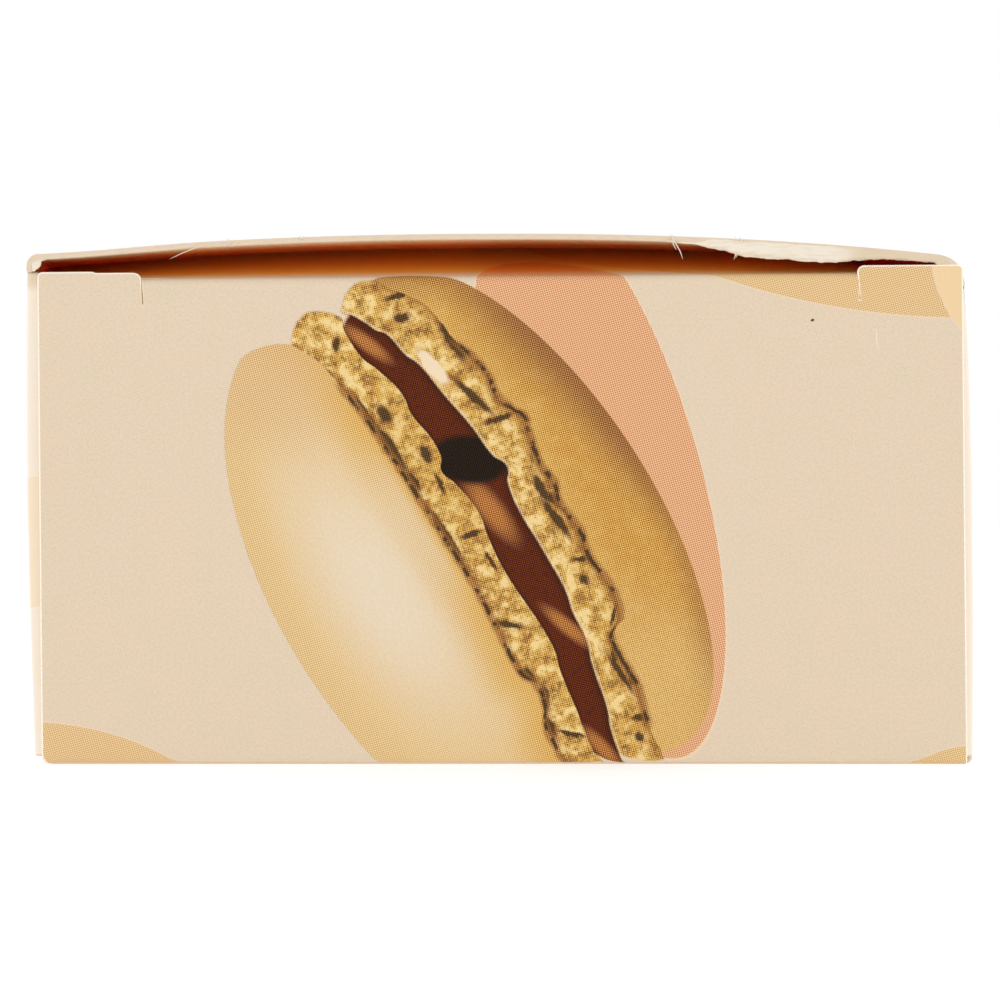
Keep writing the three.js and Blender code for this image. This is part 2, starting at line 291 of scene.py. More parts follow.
NEAR_CRACKS = (
    ((-7.9, -2.05), (1.6, 0.26), 0), ((-11.3, -2.2), (1.1, 0.14), 0),
    ((-4.9, -2), (0.6, 0.22), 0), ((-0.2, -2.2), (1.6, 0.16), 0),
    ((8.4, -1.95), (0.8, 0.2), 48), ((-10.4, -1.05), (0.55, 0.28), 0),
    ((-6.1, -0.05), (0.5, 0.28), -10), ((-3.6, -0.4), (0.6, 0.12), -8),
    ((-17, -1.1), (0.4, 0.22), -30), ((1, -0.6), (0.16, 0.6), -15),
    ((3.6, -0.45), (0.6, 0.12), 0), ((12.4, -2.9), (0.5, 0.26), 20),
    ((14.5, -2.7), (0.6, 0.22), -20), ((16.6, -3.7), (0.7, 0.26), -10),
    ((18, -2.6), (0.8, 0.12), 45),
)
JAM_GLINTS = (
    ((-15.7, 0.85), (2.4, 0.6), 19), ((0.2, 1.75), (3.3, 1), 5), ((11, 1.7), (2.6, 0.6), 17),
    ((20.2, -1.2), (2.2, 0.6), 10),
)


def above_line(point, places):
    """Millimetres that a point lies above a line drawn through some places."""
    across = add(point, "SeparateXYZ", {0: point})
    start, stop, drawn = places[0][0], places[-1][0], DRAWN_TO - DRAWN_FROM
    share = add(point, "MapRange", {"Value": across, "From Min": start, "From Max": stop})
    line = add(point, "FloatCurve", {"Value": share})
    curve = line.node.mapping.curves[0]
    for _ in places[2:]:
        curve.points.new(0.5, 0.5)
    for spot, (x, y) in zip(curve.points, places):
        spot.location = ((x - start) / (stop - start), (y - DRAWN_FROM) / drawn)
    line.node.mapping.update()
    height = add(point, "Math", {0: line, 1: drawn, 2: DRAWN_FROM}, operation="MULTIPLY_ADD")
    return add(point, "Math", {0: across.node.outputs[1], 1: height}, operation="SUBTRACT")


def draw_far_shell(point, foot_line):
    """The far shell: golden, browner towards its rim and at its upper end."""
    shell = disc(point, (1.9, 4.3), (21.5, 9.2))
    by_foot = fade(foot_line, 2.6, -0.2)
    colour = ink(linear(FAR_GOLD), FAR_LIGHT, by_foot, 0.5)
    flecks = fade(mottle(point, 1.1, 3.0), 0.42, 0.70)
    colour = ink(colour, FAR_LIGHT, flecks, 0.4)
    lower = fade(disc(point, (21, 6), (11, 6)), 1.2, 0.3)
    colour = ink(colour, FAR_PALE, lower, 0.8)
    upper = fade(disc(point, (-6, 15), (15, 8)), 1.2, 0.45)
    colour = ink(colour, FAR_BROWN, upper, fade(shell, 0.55, 1.02), 0.85)
    not_below = fade(disc(point, (20, 0), (10, 10)), 0.5, 1.2)
    rim = fade(shell, 0.80, 1.0)
    return ink(colour, FAR_BROWN, not_below, rim, 0.5), shell


def draw_near_shell(point, foot_line):
    """The near shell: pale, with a broad soft light on it and a golden shade by its foot."""
    shell = disc(point, (3.5, -4.5), (24.5, 12.6))
    rounded = (
        ((-12, -7.4), (8.15, 6.15), 0),
        ((-1.25, -8), (14.25, 30), 0),
        ((12.5, -8.8), (10.6, 7.3), 0),
    )
    light = fade(disc(point, (0.8, -8.8), (17, 6.6)), 1.05, 0.1)
    colour = ink(linear(NEAR_TAN), NEAR_LIGHT, light)
    colour = ink(colour, NEAR_RIM, fade(shell, 0.75, 1.0))
    middle = fade(disc(point, (-2, -3), (9, 4)), 1.0, 0.2)
    colour = ink(colour, NEAR_GOLD, fade(foot_line, -4.2, -0.2), 0.8)
    colour = ink(colour, NEAR_LIGHT, middle, fade(foot_line, -0.2, -1.2), 0.45)
    left_end = fade(disc(point, (-18.5, -7), (8, 6)), 1.2, 0.3)
    colour = ink(colour, NEAR_END, left_end, 0.7)
    return colour, shell, nearest(point, rounded)


def veins(point, size, half_width):
    """Thin broken lines that wind about at random."""
    waves = mottle(point, size, 2.0)
    centred = add(point, "Math", {0: waves, 1: 0.5}, operation="SUBTRACT")
    off = add(point, "Math", {0: centred}, operation="ABSOLUTE")
    return fade(off, half_width, 0.2 * half_width)


def draw_foot(point, from_shell, creamy, cracks):
    """A foot: pebbled and cracked, browner by its shell, and pale where it is told to be."""
    colour = ink(linear(FOOT_BROWN), FOOT, fade(from_shell, -0.7, 1.1))
    patches = mottle(point, 1.15, 5.0)
    colour = ink(colour, FOOT_CREAM, fade(patches, 0.53, 0.36), creamy)
    colour = ink(colour, FOOT_BROWN, fade(patches, 0.52, 0.68), 0.72)
    crumbs = mottle(point, 0.34, 2.0)
    colour = ink(colour, FOOT_CREAM, fade(crumbs, 0.46, 0.32), creamy, 0.5)
    colour = ink(colour, FOOT_BROWN, fade(crumbs, 0.54, 0.70), 0.45)
    hollows = fade(patches, 0.46, 0.56)
    colour = ink(colour, CRACK, veins(point, 1.1, 0.05), hollows, 0.4)
    crack = nearest(wander(point, 0.35, (0.2, 0.14), 2.0), cracks)
    colour = ink(colour, FOOT_BROWN, fade(crack, 2.4, 1.2), 0.7)
    return ink(colour, CRACK, fade(crack, 1.7, 0.9), 0.95)


def draw_crevice(point, under, line, width):
    """A dark crevice between a foot and its shell, which opens and closes along its length."""
    inside = fade(disc(point, (3.2, 0), (17.5, 12)), 1.06, 1.0)
    open_here = fade(mottle(point, 1.2, 3.0, (1, 0.5, 1)), 0.44, 0.55)
    off = add(point, "Math", {0: line}, operation="ABSOLUTE")
    near_it = fade(off, 3.5 * width, width)
    shade = ink(under, FOOT_BROWN, near_it, inside, 0.75)
    return ink(shade, CRACK, fade(off, 1.6 * width, 0.5 * width), open_here, inside)


def draw_jam(point, far_lip, near_lip):
    """The filling: dark, black in one place, with a few warm lights where it is glossy."""
    colour = ink(linear(JAM), JAM_BLACK, fade(far_lip, -0.8, 0.1), 0.55)
    colour = ink(colour, JAM_BLACK, fade(near_lip, 0.4, 0.0), 0.5)
    colour = ink(colour, JAM_BLACK, fade(mottle(point, 0.4), 0.5, 0.8), 0.5)
    glint = fade(nearest(point, JAM_GLINTS), 1.3, 0.3)
    colour = ink(colour, JAM_GLINT, glint, 0.78)
    black = disc(point, (-3.9, 2.5), (1.9, 3.1), -40)
    return ink(colour, JAM_BLACK, fade(black, 1.15, 0.8))


def macaron_picture():
    """One macaron as a node group: its colour at a point, and whether it covers that point."""
    tree = bpy.data.node_groups.new("macaron_picture", "ShaderNodeTree")
    for name, way, kind in (
        ("Point", "INPUT", "NodeSocketVector"),
        ("Colour", "OUTPUT", "NodeSocketColor"),
        ("Cover", "OUTPUT", "NodeSocketFloat"),
    ):
        tree.interface.new_socket(name, in_out=way, socket_type=kind)
    point = tree.nodes.new("NodeGroupInput").outputs["Point"]
    torn = wander(point, 0.7, (0.16, 0.16), 2.0)

    near_foot = above_line(torn, NEAR_FOOT_LINE)
    far_foot = above_line(torn, FAR_FOOT_LINE)
    near_lip = above_line(point, NEAR_LIP_LINE)
    far_lip = above_line(point, FAR_LIP_LINE)
    far_depth = add(tree, "Math", {0: far_foot, 1: -1.0}, operation="MULTIPLY")

    far_colour, far_shell = draw_far_shell(point, far_foot)
    near_colour, near_shell, near_round = draw_near_shell(point, near_foot)
    fine = fade(mottle(point, 0.25), 0.3, 0.7)
    near_colour = ink(near_colour, NEAR_GOLD, fine, 0.16)
    by_jam = fade(far_depth, -0.1, 1.5)
    far_foot_colour = draw_foot(torn, far_depth, by_jam, FAR_CRACKS)
    pale = disc(torn, (-11.4, 4.1), (1.9, 0.6), 8)
    far_foot_colour = ink(far_foot_colour, FOOT_WHITE, fade(pale, 1.1, 0.7))
    far_foot_colour = ink(far_foot_colour, FOOT_WHITE, fade(far_lip, 0.26, 0.1), 0.4)
    off_middle = fade(disc(torn, (-5, 0), (11, 2.4)), -0.8, 1.2)
    near_foot_colour = draw_foot(torn, near_foot, off_middle, NEAR_CRACKS)
    jam_colour = draw_jam(point, far_lip, near_lip)

    # Each layer reaches a little way under the one printed over it.
    far_mask = overlap(fade(far_shell, 1.005, 0.995), fade(far_foot, -0.6, -0.4))
    near_mask = overlap(
        fade(near_shell, 1.005, 0.995), fade(near_round, 1.006, 0.994), fade(near_foot, 0.6, 0.4)
    )
    far_end = disc(torn, (1.8, 2.6), (21.8, 6.5))
    far_foot_mask = overlap(
        fade(far_foot, 0.06, -0.06), fade(far_lip, -0.3, -0.2), fade(far_end, 1.01, 0.995)
    )
    near_end = disc(torn, (2.1, -2.0), (22.3, 6.0))
    near_foot_mask = overlap(
        fade(near_foot, -0.06, 0.06), fade(near_lip, 0.3, 0.2), fade(near_end, 1.01, 0.995)
    )
    jam_end = disc(point, (2.7, 1.4), (21.1, 6.0))
    jam_mask = overlap(
        fade(near_lip, -0.05, 0.05), fade(far_lip, 0.1, -0.1), fade(jam_end, 1.01, 0.99)
    )
    layers = (
        (near_colour, near_mask),
        (far_foot_colour, far_foot_mask),
        (near_foot_colour, near_foot_mask),
    )
    colour, cover = ink(far_colour, FOOT_BROWN, fine, 0.18), far_mask
    for layer, mask in layers:
        colour = ink(colour, layer, mask)
        cover = add(tree, "Math", {0: cover, 1: mask}, operation="MAXIMUM")
    colour = draw_crevice(point, colour, far_foot, 0.16)
    colour = draw_crevice(point, colour, near_foot, 0.14)
    colour = ink(colour, jam_colour, jam_mask)
    cover = add(tree, "Math", {0: cover, 1: jam_mask}, operation="MAXIMUM")
    result = tree.nodes.new("NodeGroupOutput")
    tree.links.new(colour, result.inputs["Colour"])
    tree.links.new(cover, result.inputs["Cover"])
    return tree


def stamp_macaron(under, local):
    """Prints one macaron over what lies under it."""
    picture = add(local, "Group", {"Point": local}, node_tree=PICTURE).node
    return ink(under, picture.outputs["Colour"], picture.outputs["Cover"])


def flat_ground(point):
    """The flat ink of the ground: a little pinker in places, with the grain of the board."""
    blotches = fade(mottle(point, 3.0), 0.35, 0.65)
    colour = ink(linear(BEIGE), PINKISH_BEIGE, blotches, 0.5)
    grain = fade(mottle(point, 0.22), 0.3, 0.7)
    return ink(colour, DEEP_BEIGE, grain, 0.2)


def lay_fields(colour, point, fields):
    """Prints plain elliptical fields, each with a hairline of bare board round it."""
    for field, centre, radii, turn in fields:
        away = disc(point, centre, radii, turn)
        hair = HAIRLINE / min(radii)
        colour = ink(colour, TRAP, fade(away, 1 + 1.3 * hair, 1 + 0.7 * hair))
        colour = ink(colour, field, fade(away, 1 + 0.3 * hair, 1 - 0.3 * hair))
    return colour


SCREEN = 1 / 6  # millimetres from dot to dot of the halftone: 60 lines to the centimetre
SCREEN_TURNS = (15, 75, 0)  # degrees by which the three screens are turned
DOT_STRENGTH = 5.7
DOT_POWER = 0.35  # the paler a colour, the more its dots stand out, by this power
DOT_LEAST = 0.05  # is added to a colour first, so that a near black has dots too
SEEN_BRIGHTNESS = (0.30, 0.59, 0.11)  # what red, green and blue each add to it


def halftone(point, colour):
    """Breaks a colour into the fine dots of offset printing.

    The ground is one flat ink, so the dots grow with the distance from its colour. Each screen
    is the product of two sines, whose humps stand in rows at 45 degrees to them.
    """
    waves = []
    for turn in SCREEN_TURNS:
        turned = (0, 0, math.radians(turn + 45))
        scaled = (math.tau / SCREEN / math.sqrt(2),) * 3
        turned = add(point, "Mapping", {0: point, "Rotation": turned, "Scale": scaled})
        wave = add(point, "VectorMath", {0: turned}, operation="SINE")
        parts = add(point, "SeparateXYZ", {0: wave})
        waves.append(overlap(parts, parts.node.outputs[1]))
    dots = add(point, "CombineXYZ", dict(enumerate(waves)))
    screened = add(point, "VectorMath", {0: linear(BEIGE)[:3], 1: colour}, operation="SUBTRACT")
    screened = add(point, "VectorMath", {0: screened, 1: (0, 0, 0)}, operation="MAXIMUM")
    body = add(point, "VectorMath", {0: colour, 1: (DOT_LEAST,) * 3}, operation="ADD")
    depth = add(point, "VectorMath", {0: screened, 1: body}, operation="MULTIPLY")
    swing = add(point, "VectorMath", {0: depth, 1: dots}, operation="MULTIPLY")
    shares = [DOT_STRENGTH * share for share in SEEN_BRIGHTNESS]
    swing = add(point, "VectorMath", {0: swing, 1: shares}, 1, operation="DOT_PRODUCT")
    softened = add(point, "Gamma", {"Color": colour, "Gamma": DOT_POWER})
    printed = add(point, "VectorMath", {0: softened, 1: swing, 2: colour}, operation="MULTIPLY_ADD")
    return add(point, "VectorMath", {0: printed, 1: (0, 0, 0)}, operation="MAXIMUM")


# Materials
def new_material(name):
    material = bpy.data.materials.new(name)
    material.use_nodes = True
    tree = material.node_tree
    tree.nodes.clear()
    return material, tree


def finish_material(tree, **sockets):
    """Ends a material in one shader, whose sockets are named with spaces turned to underscores."""
    inputs = {name.replace("_", " "): value for name, value in sockets.items()}
    shader = add(tree, "BsdfPrincipled", inputs)
    add(tree, "OutputMaterial", {"Surface": shader})


def board_bump(point, size, height):
    """The fine unevenness of board, as a bumped normal. Both sizes are millimetres."""
    fibres = mottle(point, size, 3.0)
    return add(point, "Bump", {"Strength": 1.0, "Distance": height * MM, "Height": fibres})


def printed_board(name, draw):
    """White-lined folding boxboard, coated, offset printed and sealed with a matt varnish.

    To the eye it is flat and even, with dots only up close and a weak, broad sheen. Dried
    dispersion varnish has an IOR of about 1.5, and matt its roughness is 0.5 to 0.6.
    """
    material, tree = new_material(name)
    point = add(tree, "UVMap", uv_map="blank")
    colour = halftone(point, draw(point))
    finish_material(
        tree,
        Base_Color=colour,
        Roughness=0.55,
        IOR=1.5,
        Specular_IOR_Level=0.15,
        Normal=board_bump(point, 0.5, 0.004),
    )
    return material


def draw_end(point):
    """The print of an end: loose fields of colour, and a macaron cut off by the base fold."""
    colour = flat_ground(point)
    fields = (
        (CORAL, (7.75, 22.3), (7.7, 22.6), 15.5),
        (MUSTARD, (37, 52.8), (35, 18.6), 0),
        (MUSTARD, (-37, -8), (17, 11.3), 0),
        (MUSTARD, (38, -5.2), (10, 6.8), 0),
        (PALE_MUSTARD, (38.5, 40), (5, 7.9), 0),
    )
    colour = lay_fields(colour, point, fields)
    colour = stamp_macaron(colour, in_frame_of(point, (-2.3, 18.9), -57))

    # A dark fleck and a scratch, on the front end alone.
    place = add(point, "TexCoord", output="Object")
    length_way = add(point, "SeparateXYZ", {0: place}, 1)
    at_front = add(point, "Math", {0: length_way, 1: 0.0}, operation="LESS_THAN")
    fleck = disc(point, (24.25, 34.1), (0.13, 0.10), 20)
    colour = ink(colour, FLECK, fade(fleck, 1.3, 0.8), at_front)
    scratch = disc(point, (29.2, 32.6), (0.05, 0.75), 4)
    scratched = fade(scratch, 1.5, 0.5)
    colour = ink(colour, RUBBED, scratched, at_front, 0.6)

    # Past the tuck fold the flap lies in the slot under the lid. There its print is painted in a
    # warm shade, stronger further in.
    across = add(point, "SeparateXYZ", {0: point})
    up = across.node.outputs[1]
    off_middle = add(point, "Math", {0: across}, operation="ABSOLUTE")
    between_ears = fade(off_middle, SLIT_AT + 0.2, SLIT_AT - 0.2)
    slot_shade = add(point, "VectorMath", {0: colour, 1: SLOT_SHADE_TINT}, operation="MULTIPLY")
    behind_ears = fade(up, TUCK_HEIGHT + EAR_RISE + 0.06, TUCK_HEIGHT + EAR_RISE + 0.08)
    on_flap = add(point, "Math", {0: between_ears, 1: behind_ears}, operation="MAXIMUM")
    in_slot = fade(up, TUCK_HEIGHT - 0.1, TUCK_HEIGHT + 3.4)
    return ink(colour, slot_shade, in_slot, on_flap)


def draw_sleeve(point):
    """The print round the sleeve: fields that run on over the scores, and macarons on the lid."""
    colour = flat_ground(point)
    fields = (
        (CORAL, (LID_MIDDLE - 14, -24), (15, 29), 24),
        (MUSTARD, (LID_MIDDLE + 44, -34), (24, 18), -20),
        (CORAL, (LID_MIDDLE + 20, 30), (17, 29), 24),
        (MUSTARD, (LID_MIDDLE - 40, 34), (26, 24), 15),
        (MUSTARD, (SEAM + 16, -END), (5, 16), 8),
        (MUSTARD, (BASE_MIDDLE, 18), (22, 36), 35),
    )
    colour = lay_fields(colour, point, fields)
    girth_way = add(point, "SeparateXYZ", {0: point})
    length_way = girth_way.node.outputs[1]
    near_one = in_frame_of(point, (LID_MIDDLE - 9, -27), -28)
    far_one = in_frame_of(point, (LID_MIDDLE + 12, 29), 118)
    half = add(point, "Math", {0: length_way, 1: 0.0}, operation="GREATER_THAN")
    local = add(point, "Mix", {0: half, 4: near_one, 5: far_one}, 1, data_type="VECTOR")
    colour = stamp_macaron(colour, local)

    # Painted highlight: the folds where the walls turn in at both ends are painted half-way to
    # white.
    off_lid = add(point, "Math", {0: girth_way, 1: LID_MIDDLE}, operation="SUBTRACT")
    off_lid = add(point, "Math", {0: off_lid}, operation="ABSOLUTE")
    on_walls = fade(off_lid, WIDTH / 2 + 1, WIDTH / 2 + 2)
    along = add(point, "Math", {0: length_way}, operation="ABSOLUTE")
    fold_highlight = fade(along, DUST_SCORE - 0.4, DUST_SCORE + 0.3)
    return ink(colour, WHITE_LINER, fold_highlight, on_walls, 0.5)


def uncoated_back():
    """The uncoated cream back of the board: rough, and warm where light comes through it.

    Board of this weight lets a little red light through. Inward of the lid's edge it is also
    painted orange, a painted glow for the light bounced warm between lid and flap in the slot,
    and right of the lid's middle it is painted darker, as painted shade.
    Bare paper fibre has an IOR of about 1.5, and scatters as a surface of roughness 0.9.
    """
    material, tree = new_material("board_uncoated_back")
    point = add(tree, "UVMap", uv_map="blank")
    fibres = mottle(point, 0.6, 3.0, (1, 0.4, 1))
    colour = ink(linear(BOARD_BACK), BACK_FIBRE, fade(fibres, 0.5, 0.7), 0.5)
    round_box = add(tree, "SeparateXYZ", {0: point})
    along = add(tree, "Math", {0: round_box.node.outputs[1]}, operation="ABSOLUTE")
    # Painted glow inward of the lid's edge, then painted shade right of the lid's middle.
    colour = ink(colour, PAINTED_SLOT_GLOW, fade(along, LID_END - 0.8, LID_END - 7), 0.8)
    shaded = add(tree, "VectorMath", {0: colour, 1: LID_SHADE}, operation="MULTIPLY")
    from_middle = fade(round_box, LID_MIDDLE - 4, LID_MIDDLE + 3)
    up_to_tear = fade(round_box, LID_MIDDLE + 21, LID_MIDDLE + 16)
    colour = ink(colour, shaded, from_middle, up_to_tear)
    finish_material(
        tree,
        Base_Color=colour,
        Roughness=0.9,
        IOR=1.5,
        Specular_IOR_Level=0.2,
        Subsurface_Weight=1.0,
        Subsurface_Radius=(1.0, 0.35, 0.12),
        Subsurface_Scale=0.6 * MM,
        Normal=board_bump(point, 0.25, 0.012),
    )
    return material


def in_millimetres(tree):
    place = add(tree, "TexCoord", output="Object")
    return add(tree, "VectorMath", {0: place, "Scale": 1 / MM}, operation="SCALE")


def cut_edge(name, pale, dark):
    """A die-cut edge of the board: bare layers of fibre, pale and quite matt.

    It is bare paper fibre too, IOR about 1.5 and roughness 0.9. By the slits it has painted shade.
    """
    material, tree = new_material(name)
    point = in_millimetres(tree)
    layers = mottle(point, 0.35, 3.0, (0.5, 0.5, 3))
    colour = ink(linear(pale), dark, fade(layers, 0.45, 0.7), 0.6)
    across = add(tree, "SeparateXYZ", {0: point})
    up = across.node.outputs[2]
    off_middle = add(tree, "Math", {0: across}, operation="ABSOLUTE")
    # Painted shade: the cut edges by the slits are painted a darker beige.
    by_slit = fade(off_middle, SLIT_AT + 0.9, SLIT_AT + 0.5)
    upright = fade(up, SLIT_FOOT - 5, SLIT_FOOT - 4)
    slit_shade_band = fade(up, TUCK_HEIGHT + 0.2, SLIT_FOOT + 0.5)
    colour = ink(colour, SLIT_EDGE_SHADE, by_slit, upright, slit_shade_band, 0.85)
    finish_material(
        tree,
        Base_Color=colour,
        Roughness=0.9,
        IOR=1.5,
        Specular_IOR_Level=0.2,
        Normal=board_bump(point, 0.2, 0.02),
    )
    return material


def torn_ply():
    """Board torn along its edge: loose white and cream plies, streaked and quite matt.

    Torn fibre stands up, so it is rougher than cut fibre, about 0.95. Its IOR is 1.5.
    """
    material, tree = new_material("board_torn_ply")
    point = in_millimetres(tree)
    streaks = mottle(point, 0.5, 3.0, (0.35, 1, 2.5))
    colour = ink(linear(TORN_PLY), PLY_STREAK, fade(streaks, 0.45, 0.7), 0.45)
    across = add(tree, "SeparateXYZ", {0: point})
    colour = ink(colour, DIRTY_PLY, fade(across, *SOILED), 0.85)
    finish_material(
        tree,
        Base_Color=colour,
        Roughness=0.95,
        IOR=1.5,
        Specular_IOR_Level=0.1,
        Normal=board_bump(point, 0.25, 0.03),
    )
    return material


# Folding the blank
class Route:
    """A line walked over a panel and its folds, in a plane: straight runs and bends."""

    def __init__(self, start, heading):
        self.legs = []
        self.stations = [0.0]
        self.point = Vector(start)
        self.heading = math.radians(heading)
        self.length = 0.0

    def run(self, length, steps=1):
        return self.step_on(length, 0.0, steps)

    def bend(self, radius, degrees, steps=6):
        """Bends to the right, or to the left by negative degrees."""
        curl = math.copysign(1 / radius, degrees)
        return self.step_on(radius * math.radians(abs(degrees)), curl, steps)

    def step_on(self, length, curl, steps):
        leg = (self.length, self.point, self.heading, curl)
        self.legs.append(leg)
        self.stations += [self.length + length * (i + 1) / steps for i in range(steps)]
        self.point, self.heading = self.walk(leg, length)
        self.length += length
        return self

    def at(self, distance):
        """The point at this distance along, and the heading there."""
        passed = [leg for leg in self.legs if leg[0] <= distance + 1e-6]
        leg = passed[-1] if passed else self.legs[0]
        return self.walk(leg, distance - leg[0])

    @staticmethod
    def walk(leg, distance):
        _, point, heading, curl = leg
        if not curl:
            return point + distance * Vector((math.cos(heading), math.sin(heading))), heading
        turned = heading - curl * distance
        to_centre = Vector((math.sin(heading), -math.cos(heading))) / curl
        from_centre = Vector((-math.sin(turned), math.cos(turned))) / curl
        return point + to_centre + from_centre, turned


def sheet(bm, across, along, fold, shift=(0.0, 0.0), rounded=()):
    """Adds one panel of the blank, flat, notes its print's place, and folds it.

    across and along are the places of its grid lines, fold gives the place in space of a place
    on the flat blank, and rounded lists corners that are cut round, with their radii.
    """
    blank = bm.loops.layers.uv.get("blank") or bm.loops.layers.uv.new("blank")
    older = set(bm.verts)
    columns, rows = len(across) - 1, len(along) - 1
    made = bmesh.ops.create_grid(bm, x_segments=columns, y_segments=rows, size=0.5)["verts"]
    for vertex in made:
        column = round((vertex.co.x + 0.5) * columns)
        row = round((vertex.co.y + 0.5) * rows)
        vertex.co = (across[column], along[row], 0)
    for corner, radius in rounded:
        bmesh.ops.bevel(
            bm,
            geom=[min(made, key=lambda vertex: (vertex.co.xy - Vector(corner)).length)],
            offset=radius,
            offset_type="OFFSET",
            segments=6,
            profile=0.5,
            affect="VERTICES",
            material=-1,
        )
        made = [vertex for vertex in bm.verts if vertex not in older]
    for face in {face for vertex in made for face in vertex.link_faces}:
        for loop in face.loops:
            loop[blank].uv = loop.vert.co.xy + Vector(shift)
    for vertex in made:
        vertex.co = fold(vertex.co.x, vertex.co.y)


def between(start, end, steps):
    return [start + (end - start) * i / steps for i in range(steps + 1)]


def swell(value, y):
    """A size at the ends of the box that is this share larger half way along."""
    return 1 + value * (1 - (y / END) ** 2)


def racked(x, y, z, lean):
    return Vector((x - lean * z / HEIGHT + lean / 2, y, z))


def crown_at(t, y):
    """Rise of the lid at this share of its width. It is a little fuller on the right."""
    full = 4 * t * (1 - t) * (CROWN + CROWN_SKEW * max(0.0, t - 0.5))
    full *= 1 - CROWN_SAG * max(0.0, 1 - t / SAG_WIDTH) ** 2
    return full * swell(-CROWN_SETTLES, y) / swell(-CROWN_SETTLES, END)


def lid_height(x, y):
    """Height of the lid's face, and of the rounded scores at its sides."""
    start, stop = -WIDTH / 2 + LID_LEFT, WIDTH / 2 - LID_RIGHT
    if x < start:
        return HEIGHT - LID_LEFT + math.sqrt(max(0.0, LID_LEFT**2 - (x - start) ** 2))
    if x > stop:
        return HEIGHT - LID_RIGHT + math.sqrt(max(0.0, LID_RIGHT**2 - (x - stop) ** 2))
    return HEIGHT + crown_at((x - start) / (stop - start), y)


# Round the sleeve, from the left wall's raw lower edge over the lid to the glue flap.
girth = Route((-WIDTH / 2, SEAM), 90)
girth.run(SPLIT_LEFT - SEAM, 14)
LEFT_SPLIT = girth.length
girth.run(HEIGHT - LID_LEFT - SPLIT_LEFT, 1)
girth.bend(LID_LEFT, 90, 8)
LID_START = girth.length
girth.run(WIDTH - LID_LEFT - LID_RIGHT, 48)
LID_STOP = girth.length
girth.bend(LID_RIGHT, 90, 12)
girth.run(HEIGHT - LID_RIGHT - SPLIT_RIGHT, 1)
RIGHT_SPLIT = girth.length
girth.run(SPLIT_RIGHT - BASE_RIGHT, 14)
WALL_STOP = girth.length
girth.bend(BASE_RIGHT, 90, 6)
BASE_START = girth.length
girth.run(WIDTH - BASE_RIGHT - BASE_LEFT - BOARD - GAP, 10)
BASE_STOP = girth.length
girth.bend(BASE_LEFT, 90, 6)
girth.run(GLUE_FLAP, 2)
LID_MIDDLE = (LID_START + LID_STOP) / 2
BASE_MIDDLE = (BASE_START + BASE_STOP) / 2


def wrapped(distance, y, depth=0.0):
    """A place round the sleeve, this deep inside its face."""
    (x, z), heading = girth.at(distance)
    x += depth * math.sin(heading)
    z -= depth * math.cos(heading)
    x *= 1 + BULGE * swell(BULGE_GROWS, y) * math.sin(math.pi * z / HEIGHT) / (WIDTH / 2)
    if LID_START <= distance <= LID_STOP:
        t = (distance - LID_START) / (LID_STOP - LID_START)
        z += crown_at(t, y)
    towards_top = max(0.0, (z - PINCH_FROM) / (HEIGHT - PINCH_FROM))
    x -= PINCH * max(0.0, (x - PINCH_FROM) / PINCH_WIDTH) * towards_top**2
    return racked(x, y, z, LEAN)


def sleeve():
    """Walls, lid, base and glue flap, with the walls' ends turned in as dust flaps."""
    bm = bmesh.new()
    stations = girth.stations
    sheet(bm, stations, between(-DUST_SCORE, DUST_SCORE, 26), wrapped)

    dust = Route((DUST_SCORE, 0), 0).bend(DUST_FOLD, -90, 8).run(DUST_FLAP, 2)
    hood = [s for s in stations if LEFT_SPLIT - GAP < s < RIGHT_SPLIT + GAP]
    base = [s for s in stations if BASE_START - GAP < s < BASE_STOP + GAP]
    walls = (
        [s for s in stations if s < LEFT_SPLIT + GAP],
        [s for s in stations if RIGHT_SPLIT - GAP < s < WALL_STOP + GAP],
    )
    for end in (-1, 1):

        def turned_in(distance, along):
            (reach, depth), _ = dust.at(abs(along) - DUST_SCORE)
            taper = DUST_TAPER * min(1.0, max(0.0, depth - 1.0) / DUST_NARROWS)
            foot = 0.0 if distance < LID_MIDDLE else WALL_STOP
            return wrapped(distance + taper * (foot - distance), end * reach, depth)

        reach = sorted((end * DUST_SCORE, end * LID_END))
        sheet(bm, hood, reach, wrapped)
        sheet(bm, base, sorted((end * DUST_SCORE, end * (END - BASE_FOLD))), wrapped)
        flap = sorted(end * (DUST_SCORE + station) for station in dust.stations)
        for wall in walls:
            sheet(bm, wall, flap, turned_in)
    return bm


